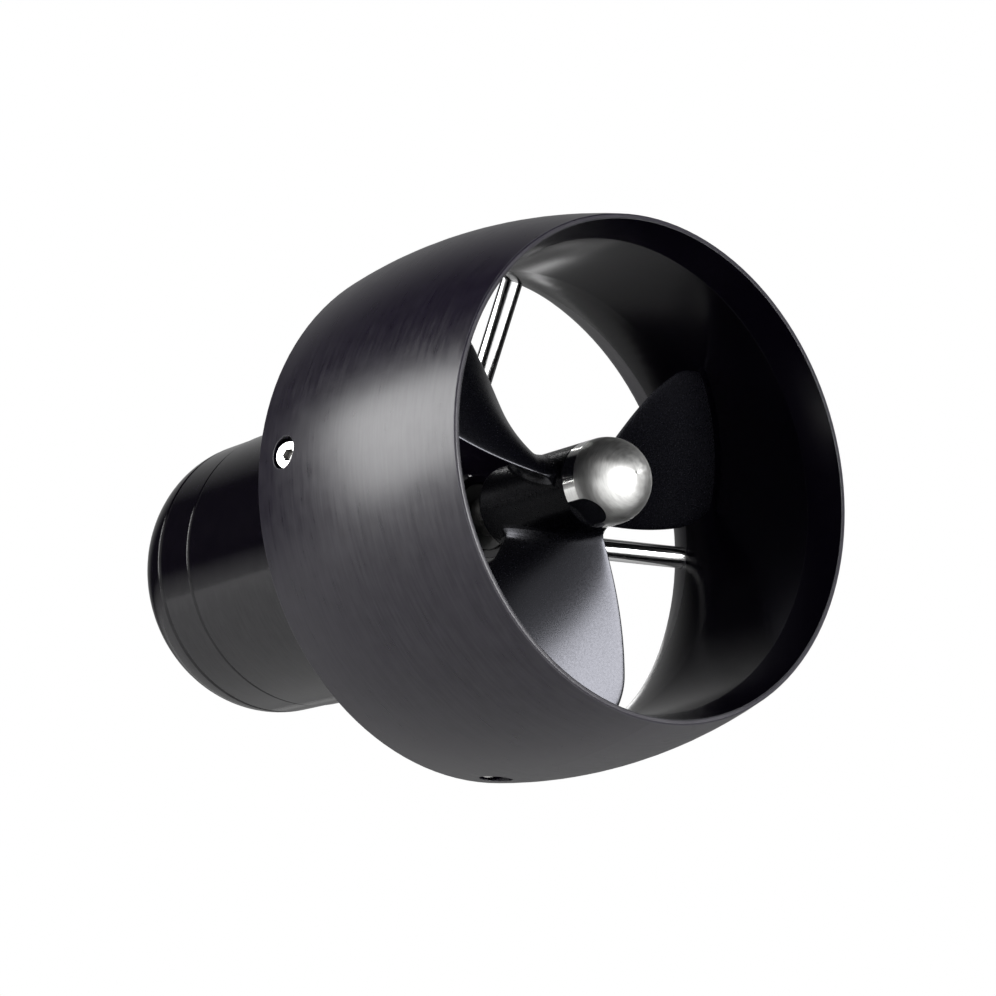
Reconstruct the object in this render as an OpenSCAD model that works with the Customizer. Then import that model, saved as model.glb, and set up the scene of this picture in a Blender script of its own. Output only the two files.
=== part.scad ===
// Ducted underwater thruster: a turned nozzle held by four swept stay rods on the domed front
// cover of a sealed electric motor, with a three-bladed propeller on the motor's shaft.
// The axis is +X, with the outlet at the +X end. The origin is the middle of the motor housing.

/* [Nozzle] */
// Largest outside diameter of the nozzle
nozzle_d = 143.4; // [132:0.2:156]
// Thickness of the nozzle at its largest diameter
nozzle_wall = 11.5; // [10.4:0.1:13]
// Drop of the outlet rim below the largest radius
rim_drop = 7.7; // [6:0.1:9]
// Distance of the largest diameter from the outlet
bulge_at = 52; // [48:0.5:56]
// Length of the nozzle along the axis
nozzle_len = 72.4; // [66:0.2:80]
// Distance of the flare's start from the outlet
flare_at = 44; // [43:0.5:47]
// Wall left at the inlet lip
lip_wall = 1.05; // [0.8:0.05:1.6]
// Length of the widening at the outlet
diffuser_len = 10; // [6:0.5:16]
// Wall left at the outlet rim
rim_wall = 1.2; // [0.8:0.1:2]
// Bevel on the rim and on the inlet lip
rim_bevel = 0.35; // [0.1:0.05:0.5]
// Distance from the motor housing to the inlet lip
inlet_gap = 28.1; // [26:0.1:33]

/* [Stays] */
// Diameter of a stay rod
stay_d = 6; // [5:0.5:8]
// Distance of the stays' seats behind the inlet lip
stay_inset = 9.1; // [7.5:0.1:12]
// Turn of the stays' feet round the front cover's edge, from the axis
stay_foot_turn = 28.5; // [20:0.5:40]
// Number of stays
stay_count = 4; // [3:1:6]
// Depth of a stay's end in the front cover
stay_depth = 7; // [4:0.5:8]
// Depth of a stay's seat in the nozzle wall
seat_depth = 0.6; // [0.3:0.1:1]
// Thread diameter of the nozzle screws
screw_d = 4; // [3:0.5:5]
// Head diameter of the nozzle screws
head_d = 7; // [5.5:0.5:8.5]
// Head height of the nozzle screws
head_h = 2.8; // [2:0.1:3]
// Wall left under the head of a nozzle screw
head_wall = 2; // [1.5:0.1:2.5]
// Length of the thread in the stay
screw_len = 10; // [6:1:14]

/* [Propeller] */
// Diameter of the propeller hub
hub_d = 22.4; // [20:0.2:24]
// Length of the propeller hub
hub_len = 34.4; // [32:0.2:36]
// Bevel at the rear edge of the hub
hub_bevel = 1.2; // [0.5:0.1:2]
// Distance of the nose's tip inside the outlet
nose_setback = 9; // [7:0.5:11]
// Straight band at the nose's base
nose_band = 4.6; // [2:0.2:6]
// Depth of the nose's wrench flats
flat_depth = 0.9; // [0.5:0.1:2]
// Number of blades
blade_count = 3; // [2:1:4]
// Pitch of the blades
blade_pitch = 129; // [100:1:140]
// Angle that a blade covers at the hub
blade_root_angle = 64; // [40:1:70]
// Angle that a blade covers at its tip
blade_tip_angle = 42; // [30:1:56]
// Blade thickness at the hub
blade_root_t = 5.5; // [4:0.1:7]
// Blade thickness at the tip
blade_tip_t = 2.2; // [1.5:0.1:3]
// Fillet between the blades and the hub
root_fillet = 2.5; // [1.5:0.5:4]
// Clearance between the blade tips and the throat
tip_clear = 1.2; // [0.6:0.1:3]
// Distance of the blades' middle from the hub's front
blade_at = 15.2; // [15:0.2:18]
// Turn of the blades at rest
blade_phase = 63; // [0:1:119]

/* [Motor] */
// Outside diameter of the motor
motor_d = 80; // [78:0.5:88]
// Length of the motor housing
housing_len = 53; // [50:0.5:70]
// Wall of the motor housing
housing_wall = 3.5; // [3:0.1:4]
// Round of both ends of the motor
dome_r = 23.4; // [22:0.2:24]
// Length of the rear cover's band
band_len = 15; // [14:0.5:20]
// Length of the cover spigots in the housing
spigot_len = 10; // [8:0.5:10.5]
// Wall of the cover spigots
spigot_wall = 5; // [4:0.1:5.4]
// Length of the seal boss on the front cover
boss_len = 7; // [5:0.5:9]
// Bevel at the seams of the motor
seam_bevel = 0.7; // [0.3:0.1:1]
// Length of the stator and of the rotor
core_len = 28; // [20:1:28]
// Number of stator teeth
tooth_count = 12; // [9:3:12]
// Width of a stator tooth
tooth_w = 6; // [4:0.2:6.4]
// Bore of the stator
stator_bore = 44; // [42:0.5:46]
// Radial depth of the stator yoke
yoke_t = 5.4; // [5:0.1:6.5]
// Number of rotor magnets
magnet_count = 10; // [6:2:14]
// Thickness of the rotor magnets
magnet_t = 2.8; // [2:0.1:4]
// Air gap between the rotor and the stator
air_gap = 0.8; // [0.5:0.1:1.2]

/* [Shaft and bearings] */
// Diameter of the shaft in the bearings
shaft_d = 10; // [9:0.5:10]
// Diameter of the shaft in the rotor
rotor_seat_d = 14; // [12:0.5:16]
// Diameter of the shaft in the propeller
prop_seat_d = 8; // [6:0.5:8]
// Outside diameter of the bearings
bearing_d = 26; // [26:0.5:28]
// Width of the bearings
bearing_w = 8; // [7:0.5:8]
// Diameter of the bearing balls
ball_d = 4.8; // [4:0.1:4.8]
// Number of balls in a bearing
ball_count = 7; // [6:1:8]
// Outside diameter of the shaft seal
seal_d = 18; // [16:0.5:18]
// Width of the shaft seal
seal_w = 6; // [4:0.5:7]
// Diameter of the propeller's drive pin
pin_d = 3; // [2:0.5:4]

/* [Tail and cable gland] */
// Diameter of the cable that the gland takes
cable_d = 7; // [5:0.5:7.5]
// Thread diameter of the gland
gland_d = 14; // [13:0.5:15]
// Width across the flats of the gland
gland_flats = 17; // [16.5:0.5:20]
// Length of the gland's nut
gland_nut_len = 11; // [10:0.5:16]
// Radius of the wiring chamber in the tail dome
chamber_r = 22; // [20:0.5:22.5]
// Depth of the wiring chamber
chamber_depth = 13.5; // [10:0.5:15]
// Pitch circle diameter of the tail screws
tail_pcd = 59; // [57:0.5:60]
// Thread diameter of the tail screws
tail_screw_d = 3; // [2.5:0.5:3]
// Number of tail screws
tail_screw_count = 4; // [3:1:6]
// Section diameter of the O-rings
oring_d = 2; // [1.6:0.1:2.4]

/* [Hidden] */

// Steps round a turned piece, a long arc and a ball
$fn = 96;
arc_steps = 360;
ball_steps = 48;

// Clearances: sliding fit, running fit, air round a loose piece, and overshoot of a cut
slip = 0.1;
run_fit = 0.05;
loose = 0.5;
over = 1;

// Stations along the axis
x_front = housing_len / 2;
x_rear = -housing_len / 2;
x_face = x_front + dome_r;
x_inlet = x_front + inlet_gap;
x_outlet = x_inlet + nozzle_len;
x_nose_tip = x_outlet - nose_setback;
nose_r = hub_d / 2;
x_hub_front = x_nose_tip - nose_r - nose_band;
x_hub_rear = x_hub_front - hub_len;
x_boss = x_face + boss_len;
x_band = x_rear - band_len;
x_tail = x_band - dome_r;

// Motor radii: the covers stand a little inside the housing, which is the clamp seat
motor_r = motor_d / 2;
cover_step = 0.2;
cover_r = motor_r - cover_step;
bore_r = motor_r - housing_wall;
spigot_r = bore_r - slip;
spigot_in_r = spigot_r - spigot_wall;
dome_flat_r = cover_r - dome_r;

// Nozzle section: the bulge is one arc through the rim and the largest diameter, and the flare is
// one arc that leaves the throat without a corner and ends at the lip's wall
outlet_r = nozzle_d / 2 - rim_drop;
rim_in_r = outlet_r - rim_wall;
throat_r = nozzle_d / 2 - nozzle_wall;
bulge_r = (bulge_at * bulge_at + rim_drop * rim_drop) / (2 * rim_drop);
x_bulge = x_outlet - bulge_at;
x_flare = x_outlet - flare_at;
lip_out_r = nozzle_d / 2 - bulge_r + sqrt(bulge_r * bulge_r - pow(x_bulge - x_inlet, 2));
lip_in_r = lip_out_r - lip_wall;
flare_rise = lip_in_r - throat_r;
flare_r = (pow(x_flare - x_inlet, 2) + flare_rise * flare_rise) / (2 * flare_rise);

// Stay axis: from a foot on the front cover's round to a point on the flare. At the drawn sizes it
// meets the flare square on. The seat lies a little deeper, in the nozzle's wall.
x_touch = x_inlet + stay_inset;
r_touch = throat_r + flare_r - sqrt(flare_r * flare_r - pow(x_flare - x_touch, 2));
x_foot = x_front + dome_r * cos(stay_foot_turn);
r_foot = dome_flat_r + dome_r * sin(stay_foot_turn);
stay_sweep = atan2(x_touch - x_foot, r_touch - r_foot);
x_seat = x_touch + seat_depth * sin(stay_sweep);
r_seat = r_touch + seat_depth * cos(stay_sweep);
stay_len = norm([x_seat - x_foot, r_seat - r_foot]) + stay_depth;
bore_play = 0.7;
tap_room = 2;

// Bearings
shaft_r = shaft_d / 2;
pitch_r = (bearing_d + shaft_d) / 4;
race_land = 1.9;
ball_r = ball_d / 2;
ball_play = 0.1;
cage_t = 1.8;
cage_rim = 0.7;
cage_w = ball_d + 2 * cage_rim;

// Front cover: bearing seat, cavity over the coil ends, boss round the seal
cavity_step = 1.5;
cavity_r = spigot_in_r - cavity_step;
cavity_depth = 6;
x_cavity = x_front + cavity_depth;
bearing_step = 2;
x_front_bearing = x_cavity + bearing_step;
boss_wall = 2.2;
boss_r = seal_d / 2 + boss_wall;
boss_flare = 3.8;
boss_foot_r = boss_r + boss_flare;
shaft_room = 1;
seal_inset = 1;
x_seal = x_boss - seal_w - seal_inset;
seal_lip_room = 1.4;
seal_lip_r = shaft_r + shaft_room + seal_lip_room;
seal_lip_from = 0.4;
seal_lip_to = 0.6;

// Rear cover: bearing seat, preload washer and wire holes
web_depth = 3;
x_web = x_rear - web_depth;
bearing_inset = 1;
x_rear_bearing = x_web - bearing_w - bearing_inset;
washer_t = 0.8;
x_bearing_floor = x_rear_bearing - washer_t;
wire_hole_d = 5;
wire_hole_count = 3;
wire_circle_r = bearing_d / 2 + wire_hole_d;

// Seal grooves and rings
ring_squeeze = 0.8;
ring_slack = 1.3;
groove_depth = oring_d * ring_squeeze;
groove_w = oring_d * ring_slack;
ring_r = groove_depth / 2 - run_fit;

// Rotor
rotor_r = stator_bore / 2 - air_gap;
rotor_core_r = rotor_r - magnet_t;
magnet_fill = 0.86;
clip_t = 1;
clip_wall = 2.2;
clip_r = shaft_r + clip_wall - clip_t;
clip_play = 2.3;
clip_room_r = clip_r + clip_play;
clip_margin = 1.5;
x_shaft_end = x_rear_bearing - clip_t - clip_margin;
thread_reach = 8;

// Drive pin: it ends inside the hub
pin_inset = 2.5;
pin_len = hub_d - 2 * pin_inset;

// Socket head screws: share of the head left under the socket, and of the thread the socket takes
socket_floor = 0.4;
socket_share = 0.43;

// Tail: the face groove lies between the tail screws and the seam
tail_circle_r = tail_pcd / 2;
tail_ring_r = (tail_circle_r + tail_screw_d / 2 + cover_r - seam_bevel) / 2;
tail_head_share = 1.83;
tail_head_d = tail_screw_d * tail_head_share;
tail_head_h = tail_screw_d;
tail_flange = 8.5;
x_tail_head = x_band - tail_flange;
tail_screw_bite = 7;
gland_stub = dome_r - chamber_depth;
gland_hex = 5;
gland_wall = 1.2;
gland_lip = 1.5;
gland_neck = gland_nut_len - gland_lip + loose;
nut_round = 3.5;
sleeve_wall = 1;
sleeve_spigot = 2;
gland_bore_r = cable_d / 2 + sleeve_wall;
gland_pocket_r = gland_d / 2 - gland_wall;
gland_seal_len = 8;
x_neck_end = x_tail - gland_hex - gland_neck;

// Turns a section, drawn as radius and station, about the axis
module turn() {
  rotate([0, 90, 0])
    rotate_extrude()
      children();
}

// Section of a ring between two radii and two stations
module band(r0, r1, x0, x1) {
  translate([r0, x0])
    square([r1 - r0, x1 - x0]);
}

// Section of a ring with bevelled outer corners at both ends
module bevelled(r1, x0, x1, b0, b1) {
  polygon([[0, x0], [r1 - b0, x0], [r1, x0 + b0], [r1, x1 - b1], [r1 - b1, x1], [0, x1]]);
}

// A cylinder along the axis
module rod(r, x0, x1, sides = $fn) {
  translate([x0, 0, 0])
    rotate([0, 90, 0])
      cylinder(r = r, h = x1 - x0, $fn = sides);
}

// Section of a motor end: a round that runs from the cover's edge into a flat, for a dome towards +x
module dome_section(x0) {
  band(0, dome_flat_r, x0, x0 + dome_r);
  intersection() {
    translate([dome_flat_r, x0])
      circle(r = dome_r);
    band(0, cover_r, x0, x0 + dome_r);
  }
}

// Copies round the axis
module round_axis(count) {
  for (i = [0 : count - 1])
    rotate([i * 360 / count, 0, 0])
      children();
}

// Copies on the stays' axes, with z up the stay and zero at its seat in the nozzle
module on_stays() {
  round_axis(stay_count)
    translate([x_seat, 0, r_seat])
      rotate([0, stay_sweep, 0])
        children();
}

// A socket head screw along z, with the head's seat at zero and the thread below
module socket_screw(thread_d, cap_d, cap_h, reach) {
  difference() {
    union() {
      cylinder(r = cap_d / 2, h = cap_h);
      translate([0, 0, -reach])
        cylinder(r = thread_d / 2, h = reach + over / 4);
    }
    translate([0, 0, cap_h * socket_floor])
      cylinder(r = thread_d * socket_share, h = cap_h, $fn = 6);
  }
}

module nozzle_section() {
  difference() {
    intersection() {
      translate([nozzle_d / 2 - bulge_r, x_bulge])
        circle(r = bulge_r, $fn = arc_steps);
      band(throat_r - over, nozzle_d, x_inlet, x_outlet);
    }
    band(0, throat_r, x_flare - over, x_outlet);
    polygon([
      [0, x_outlet - diffuser_len], [throat_r, x_outlet - diffuser_len],
      [rim_in_r, x_outlet], [rim_in_r, x_outlet + over], [0, x_outlet + over]
    ]);
    difference() {
      band(0, throat_r + flare_r, x_inlet - over, x_flare);
      translate([throat_r + flare_r, x_flare])
        circle(r = flare_r, $fn = arc_steps);
    }
    polygon([
      [outlet_r - rim_bevel, x_outlet + over], [outlet_r - rim_bevel, x_outlet],
      [outlet_r + rim_bevel / 2, x_outlet - rim_bevel], [nozzle_d, x_outlet - rim_bevel],
      [nozzle_d, x_outlet + over]
    ]);
    polygon([
      [lip_out_r - rim_bevel, x_inlet], [lip_out_r + over, x_inlet + over + rim_bevel],
      [lip_out_r + over, x_inlet - over], [lip_out_r - rim_bevel, x_inlet - over]
    ]);
    polygon([
      [lip_in_r + rim_bevel, x_inlet], [lip_in_r - over, x_inlet + over + rim_bevel],
      [lip_in_r - over, x_inlet - over], [lip_in_r + rim_bevel, x_inlet - over]
    ]);
  }
}

module nozzle() {
  color([0.13, 0.13, 0.14])
  difference() {
    turn()
      nozzle_section();
    on_stays() {
      translate([0, 0, -stay_d])
        cylinder(r = stay_d / 2 + slip, h = stay_d);
      translate([0, 0, -over])
        cylinder(r = screw_d / 2 + slip, h = head_wall + 2 * over);
      translate([0, 0, head_wall])
        cylinder(r = head_d / 2 + bore_play, h = nozzle_d);
    }
  }
}

module nozzle_screws() {
  color([0.78, 0.79, 0.8])
  on_stays()
    translate([0, 0, head_wall])
      socket_screw(screw_d, head_d, head_h, head_wall + screw_len);
}

module stay_rods() {
  color([0.75, 0.76, 0.78])
  on_stays()
    difference() {
      translate([0, 0, -stay_len])
        cylinder(r = stay_d / 2, h = stay_len);
      translate([0, 0, -screw_len - tap_room])
        cylinder(r = screw_d / 2, h = screw_len + tap_room + over);
    }
}

module front_cover() {
  color([0.11, 0.11, 0.12])
  difference() {
    turn()
      difference() {
        union() {
          dome_section(x_front);
          band(0, spigot_r, x_front - spigot_len, x_front);
          polygon([[0, x_face - over], [boss_foot_r, x_face - over], [boss_r, x_boss], [0, x_boss]]);
        }
        polygon([
          [cover_r - seam_bevel, x_front], [cover_r + over, x_front + seam_bevel + over],
          [cover_r + over, x_front - over], [cover_r - seam_bevel, x_front - over]
        ]);
        band(0, spigot_in_r, x_front - spigot_len - over, x_front);
        band(0, cavity_r, x_front - over, x_cavity);
        band(0, bearing_d / 2, x_cavity - over, x_front_bearing + bearing_w);
        band(0, shaft_r + shaft_room, x_cavity, x_boss + over);
        band(0, seal_d / 2, x_seal, x_boss + over);
        band(spigot_r - groove_depth, spigot_r + over,
             x_front - spigot_len / 2 - groove_w / 2, x_front - spigot_len / 2 + groove_w / 2);
      }
    on_stays()
      translate([0, 0, -stay_len])
        cylinder(r = stay_d / 2 + slip / 2, h = stay_len);
  }
}

module o_ring(mid_r, x_mid) {
  turn()
    translate([mid_r, x_mid])
      circle(r = ring_r, $fn = ball_steps);
}

module front_o_ring() {
  color([0.06, 0.06, 0.06])
  o_ring(spigot_r - groove_depth / 2, x_front - spigot_len / 2);
}

module rear_o_ring() {
  color([0.06, 0.06, 0.06])
  o_ring(spigot_r - groove_depth / 2, x_rear + spigot_len / 2);
}

module tail_o_ring() {
  color([0.06, 0.06, 0.06])
  o_ring(tail_ring_r, x_band + groove_depth / 2);
}

module shaft_seal() {
  color([0.08, 0.08, 0.09])
  turn()
    difference() {
      band(shaft_r + run_fit, seal_d / 2, x_seal, x_seal + seal_w);
      polygon([
        [shaft_r + run_fit, x_seal - over], [seal_lip_r, x_seal - over],
        [seal_lip_r, x_seal + seal_w * seal_lip_to], [shaft_r + run_fit, x_seal + seal_w * seal_lip_from]
      ]);
    }
}

module motor_housing() {
  color([0.12, 0.12, 0.13])
  turn()
    difference() {
      bevelled(motor_r, x_rear, x_front, seam_bevel, seam_bevel);
      band(0, bore_r, x_rear - over, x_front + over);
    }
}

// Outline of the stator laminations: a yoke with teeth
module lamination() {
  intersection() {
    difference() {
      circle(r = bore_r - slip);
      circle(r = stator_bore / 2);
    }
    union() {
      difference() {
        circle(r = bore_r);
        circle(r = bore_r - slip - yoke_t);
      }
      for (i = [0 : tooth_count - 1])
        rotate(i * 360 / tooth_count)
          translate([0, -tooth_w / 2])
            square([bore_r - yoke_t / 2, tooth_w]);
    }
  }
}

module stator_core() {
  color([0.45, 0.46, 0.48])
  translate([-core_len / 2, 0, 0])
    rotate([0, 90, 0])
      linear_extrude(core_len)
        lamination();
}

// Coils: one winding round each tooth, sized to clear its neighbours at the bore
coil_inset = 2;
coil_in_r = stator_bore / 2 + coil_inset;
coil_out_r = bore_r - slip - yoke_t - loose;
coil_side = (2 * PI * coil_in_r / tooth_count - tooth_w) / 2 - slip - loose;
coil_end = 3;

module stator_coils() {
  color([0.72, 0.4, 0.2])
  round_axis(tooth_count)
    rotate([180 / tooth_count * (tooth_count % 2), 0, 0])
      difference() {
        translate([-core_len / 2 - coil_end, -tooth_w / 2 - coil_side, coil_in_r])
          cube([core_len + 2 * coil_end, tooth_w + 2 * coil_side, coil_out_r - coil_in_r]);
        translate([-core_len / 2 - slip, -tooth_w / 2 - slip, 0])
          cube([core_len + 2 * slip, tooth_w + 2 * slip, bore_r]);
      }
}

module rear_cover() {
  color([0.11, 0.11, 0.12])
  difference() {
    turn()
      difference() {
        union() {
          bevelled(cover_r, x_band, x_rear, seam_bevel, seam_bevel);
          band(0, spigot_r, x_rear, x_rear + spigot_len);
        }
        band(0, spigot_in_r, x_rear, x_rear + spigot_len + over);
        band(0, cavity_r, x_web, x_rear + over);
        band(0, bearing_d / 2, x_bearing_floor, x_web + over);
        band(0, clip_room_r, x_band - over, x_web);
        band(spigot_r - groove_depth, spigot_r + over,
             x_rear + spigot_len / 2 - groove_w / 2, x_rear + spigot_len / 2 + groove_w / 2);
        band(tail_ring_r - groove_w / 2, tail_ring_r + groove_w / 2,
             x_band - over, x_band + groove_depth);
      }
    round_axis(wire_hole_count)
      translate([0, 0, wire_circle_r])
        rod(wire_hole_d / 2, x_band - over, x_web + over);
    round_axis(tail_screw_count)
      rotate([180 / tail_screw_count, 0, 0])
        translate([0, 0, tail_circle_r])
          rod(tail_screw_d / 2, x_band - over, x_band + tail_screw_bite + over);
  }
}

module preload_washer() {
  color([0.7, 0.71, 0.73])
  turn()
    band(bearing_d / 2 - race_land - slip, bearing_d / 2 - slip, x_bearing_floor, x_rear_bearing);
}

module tail_dome() {
  color([0.12, 0.12, 0.13])
  difference() {
    turn()
      difference() {
        translate([0, 2 * x_band])
          mirror([0, 1])
            dome_section(x_band);
        polygon([
          [cover_r - seam_bevel, x_band], [cover_r + over, x_band - seam_bevel - over],
          [cover_r + over, x_band + over], [cover_r - seam_bevel, x_band + over]
        ]);
        band(0, chamber_r, x_band - chamber_depth, x_band + over);
        band(0, gland_d / 2, x_tail - over, x_band);
      }
    round_axis(tail_screw_count)
      rotate([180 / tail_screw_count, 0, 0])
        translate([0, 0, tail_circle_r]) {
          rod(tail_screw_d / 2 + slip, x_tail, x_band + over);
          rod(tail_head_d / 2 + loose / 2, x_tail - over, x_tail_head);
        }
  }
}

module tail_screws() {
  color([0.78, 0.79, 0.8])
  round_axis(tail_screw_count)
    rotate([180 / tail_screw_count, 0, 0])
      translate([x_tail_head, 0, tail_circle_r])
        rotate([0, -90, 0])
          socket_screw(tail_screw_d, tail_head_d, tail_head_h, x_band + tail_screw_bite - x_tail_head);
}

module gland_body() {
  color([0.7, 0.71, 0.72])
  difference() {
    union() {
      rod(gland_d / 2, x_neck_end, x_tail + gland_stub);
      rod(gland_flats / sqrt(3), x_tail - gland_hex, x_tail, 6);
    }
    rod(gland_bore_r, x_neck_end - over, x_tail + gland_stub + over);
    rod(gland_pocket_r, x_neck_end - over, x_neck_end + gland_seal_len);
  }
}

// Rubber sleeve: thick in the body's pocket, thin in the body's bore and in the nut's mouth
module gland_seal() {
  color([0.09, 0.09, 0.09])
  turn() {
    band(cable_d / 2, gland_pocket_r - run_fit, x_neck_end, x_neck_end + gland_seal_len);
    band(cable_d / 2, gland_bore_r - run_fit,
         x_neck_end - gland_lip, x_neck_end + gland_seal_len + sleeve_spigot);
  }
}

module gland_nut() {
  color([0.7, 0.71, 0.72])
  difference() {
    union() {
      rod(gland_flats / sqrt(3), x_neck_end - gland_lip + nut_round, x_tail - gland_hex - loose, 6);
      rod(gland_flats / 2, x_neck_end - gland_lip, x_tail - gland_hex - loose);
    }
    rod(gland_d / 2 + slip, x_neck_end, x_tail - gland_hex + over);
    rod(gland_bore_r, x_neck_end - gland_lip - over, x_neck_end + over);
  }
}

module outer_race(x0) {
  turn()
    difference() {
      band(bearing_d / 2 - race_land, bearing_d / 2, x0, x0 + bearing_w);
      translate([pitch_r, x0 + bearing_w / 2])
        circle(r = ball_r + ball_play, $fn = ball_steps);
    }
}

module inner_race(x0) {
  turn()
    difference() {
      band(shaft_r, shaft_r + race_land, x0, x0 + bearing_w);
      translate([pitch_r, x0 + bearing_w / 2])
        circle(r = ball_r + ball_play, $fn = ball_steps);
    }
}

module ball_ring(x0) {
  round_axis(ball_count)
    translate([x0 + bearing_w / 2, 0, pitch_r])
      children();
}

module cage(x0) {
  difference() {
    turn()
      band(pitch_r - cage_t / 2, pitch_r + cage_t / 2,
           x0 + bearing_w / 2 - cage_w / 2, x0 + bearing_w / 2 + cage_w / 2);
    ball_ring(x0)
      sphere(r = ball_r + run_fit, $fn = ball_steps);
  }
}

module front_outer_race() {
  color([0.66, 0.67, 0.7])
  outer_race(x_front_bearing);
}

module rear_outer_race() {
  color([0.66, 0.67, 0.7])
  outer_race(x_rear_bearing);
}

module front_inner_race() {
  color([0.66, 0.67, 0.7])
  inner_race(x_front_bearing);
}

module rear_inner_race() {
  color([0.66, 0.67, 0.7])
  inner_race(x_rear_bearing);
}

module front_balls() {
  color([0.82, 0.83, 0.85])
  ball_ring(x_front_bearing)
    sphere(r = ball_r, $fn = ball_steps);
}

module rear_balls() {
  color([0.82, 0.83, 0.85])
  ball_ring(x_rear_bearing)
    sphere(r = ball_r, $fn = ball_steps);
}

module front_cage() {
  color([0.6, 0.55, 0.4])
  cage(x_front_bearing);
}

module rear_cage() {
  color([0.6, 0.55, 0.4])
  cage(x_rear_bearing);
}

module shaft() {
  color([0.74, 0.75, 0.77])
  difference() {
    turn()
      union() {
        band(0, shaft_r, x_shaft_end, x_hub_rear);
        band(0, rotor_seat_d / 2, x_rear_bearing + bearing_w, x_front_bearing);
        band(0, prop_seat_d / 2, x_hub_rear - over, x_hub_front + thread_reach);
      }
    turn()
      band(shaft_r - clip_t, shaft_d, x_rear_bearing - clip_t, x_rear_bearing);
    translate([x_hub_rear + pin_d, 0, 0])
      cylinder(r = pin_d / 2, h = hub_d, center = true);
  }
}

module shaft_circlip() {
  color([0.5, 0.51, 0.53])
  turn()
    band(shaft_r - clip_t, clip_r, x_rear_bearing - clip_t, x_rear_bearing);
}

module rotor_core() {
  color([0.5, 0.5, 0.52])
  turn()
    band(rotor_seat_d / 2, rotor_core_r, -core_len / 2, core_len / 2);
}

// Outline of one magnet: a piece of a ring, cut by a wedge
module magnet_outline() {
  half = 180 / magnet_count * magnet_fill;
  reach = 2 * rotor_r;
  intersection() {
    difference() {
      circle(r = rotor_r);
      circle(r = rotor_core_r);
    }
    polygon([[0, 0], [reach * cos(half), -reach * sin(half)], [reach * cos(half), reach * sin(half)]]);
  }
}

module rotor_magnets() {
  color([0.62, 0.63, 0.65])
  round_axis(magnet_count)
    translate([-core_len / 2, 0, 0])
      rotate([0, 90, 0])
        linear_extrude(core_len)
          magnet_outline();
}

module drive_pin() {
  color([0.78, 0.79, 0.8])
  translate([x_hub_rear + pin_d, 0, 0])
    cylinder(r = pin_d / 2, h = pin_len, center = true);
}

module nose_nut() {
  color([0.8, 0.8, 0.81])
  difference() {
    turn()
      difference() {
        union() {
          bevelled(nose_r, x_hub_front, x_hub_front + nose_band, rim_bevel, 0);
          intersection() {
            translate([0, x_hub_front + nose_band])
              circle(r = nose_r);
            band(0, nose_r, x_hub_front + nose_band, x_nose_tip);
          }
        }
        band(0, prop_seat_d / 2, x_hub_front - over, x_hub_front + thread_reach + over / 2);
      }
    for (side = [0, 180])
      rotate([flat_turn + side, 0, 0])
        translate([x_hub_front - over, -nose_r, nose_r - flat_depth])
          cube([nose_r * 2, nose_r * 2, nose_r]);
  }
}

// Turn of the nose's flats at rest, about the axis
flat_turn = 149;

// Blade surface: sections on cylinders about the axis, each a lens along a helix of constant pitch.
// The leading edge is at the inlet side and runs ahead of the trailing edge, from +z towards +y.
span_steps = 16;
chord_steps = 12;
blade_crown = 1.2;
blade_edge_t = 0.8;
tip_round = 0.14;
tip_round_from = 0.8;
swell_turn = 3;
blade_sink = 3;
x_blade = x_hub_front - blade_at;
blade_root_r = hub_d / 2 - blade_sink;
blade_tip_r = throat_r - tip_clear;
helix = blade_pitch / 360;
ring_points = 2 * (chord_steps + 1);

function mix(a, b, t) = a + (b - a) * t;
// Share of the span at a step, with the steps close together at the hub and at the tip
function span_at(i) = (1 - cos(180 * i / span_steps)) / 2;
function blade_r(s) = mix(blade_root_r, blade_tip_r, s);
// Swelling of a blade towards the hub: a round fillet
function fillet_left(r) = max(0, root_fillet - max(0, r - hub_d / 2));
function swell(r) = root_fillet - sqrt(root_fillet * root_fillet - pow(fillet_left(r), 2));
function corner(s) = 1 - tip_round * pow(max(0, s - tip_round_from) / (1 - tip_round_from), 2);
function half_angle(s) =
  (mix(blade_root_angle, blade_tip_angle, s) / 2 + blade_crown * sin(180 * s)) * corner(s);
function half_thickness(s, c) =
  (blade_edge_t + (mix(blade_root_t, blade_tip_t, s) - blade_edge_t) * (1 - c * c)) / 2;
// Turn of the blade's face from the plane square to the axis, at a radius
function face_turn(r) = atan2(helix * 180 / PI, r);
function blade_point(s, c, side) =
  let (r = blade_r(s))
  let (h = (half_thickness(s, c) + swell(r)) * side)
  let (w = c * (half_angle(s) + swell(r) * swell_turn))
  let (turned = w + h * sin(face_turn(r)) * 180 / (PI * r))
  [x_blade - w * helix + h * cos(face_turn(r)), r * sin(turned), r * cos(turned)];
function chord_at(j) = j <= chord_steps
  ? -cos(180 * j / chord_steps)
  : -cos(180 * (ring_points - 1 - j) / chord_steps);

module blade() {
  points = [
    for (i = [0 : span_steps])
      for (j = [0 : ring_points - 1])
        blade_point(span_at(i), chord_at(j), j <= chord_steps ? 1 : -1)
  ];
  last = span_steps * ring_points;
  skin = [
    for (i = [0 : span_steps - 1])
      for (j = [0 : ring_points - 1])
        let (a = i * ring_points + j)
        let (b = i * ring_points + (j + 1) % ring_points)
        each [[a, b + ring_points, b], [a, a + ring_points, b + ring_points]]
  ];
  ends = [
    for (j = [0 : chord_steps - 1])
      let (k = ring_points - 1 - j)
      each [
        [j, j + 1, k], [j + 1, k - 1, k],
        [last + j, last + k, last + j + 1], [last + j + 1, last + k, last + k - 1]
      ]
  ];
  polyhedron(points = points, faces = concat(skin, ends), convexity = 4);
}

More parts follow.
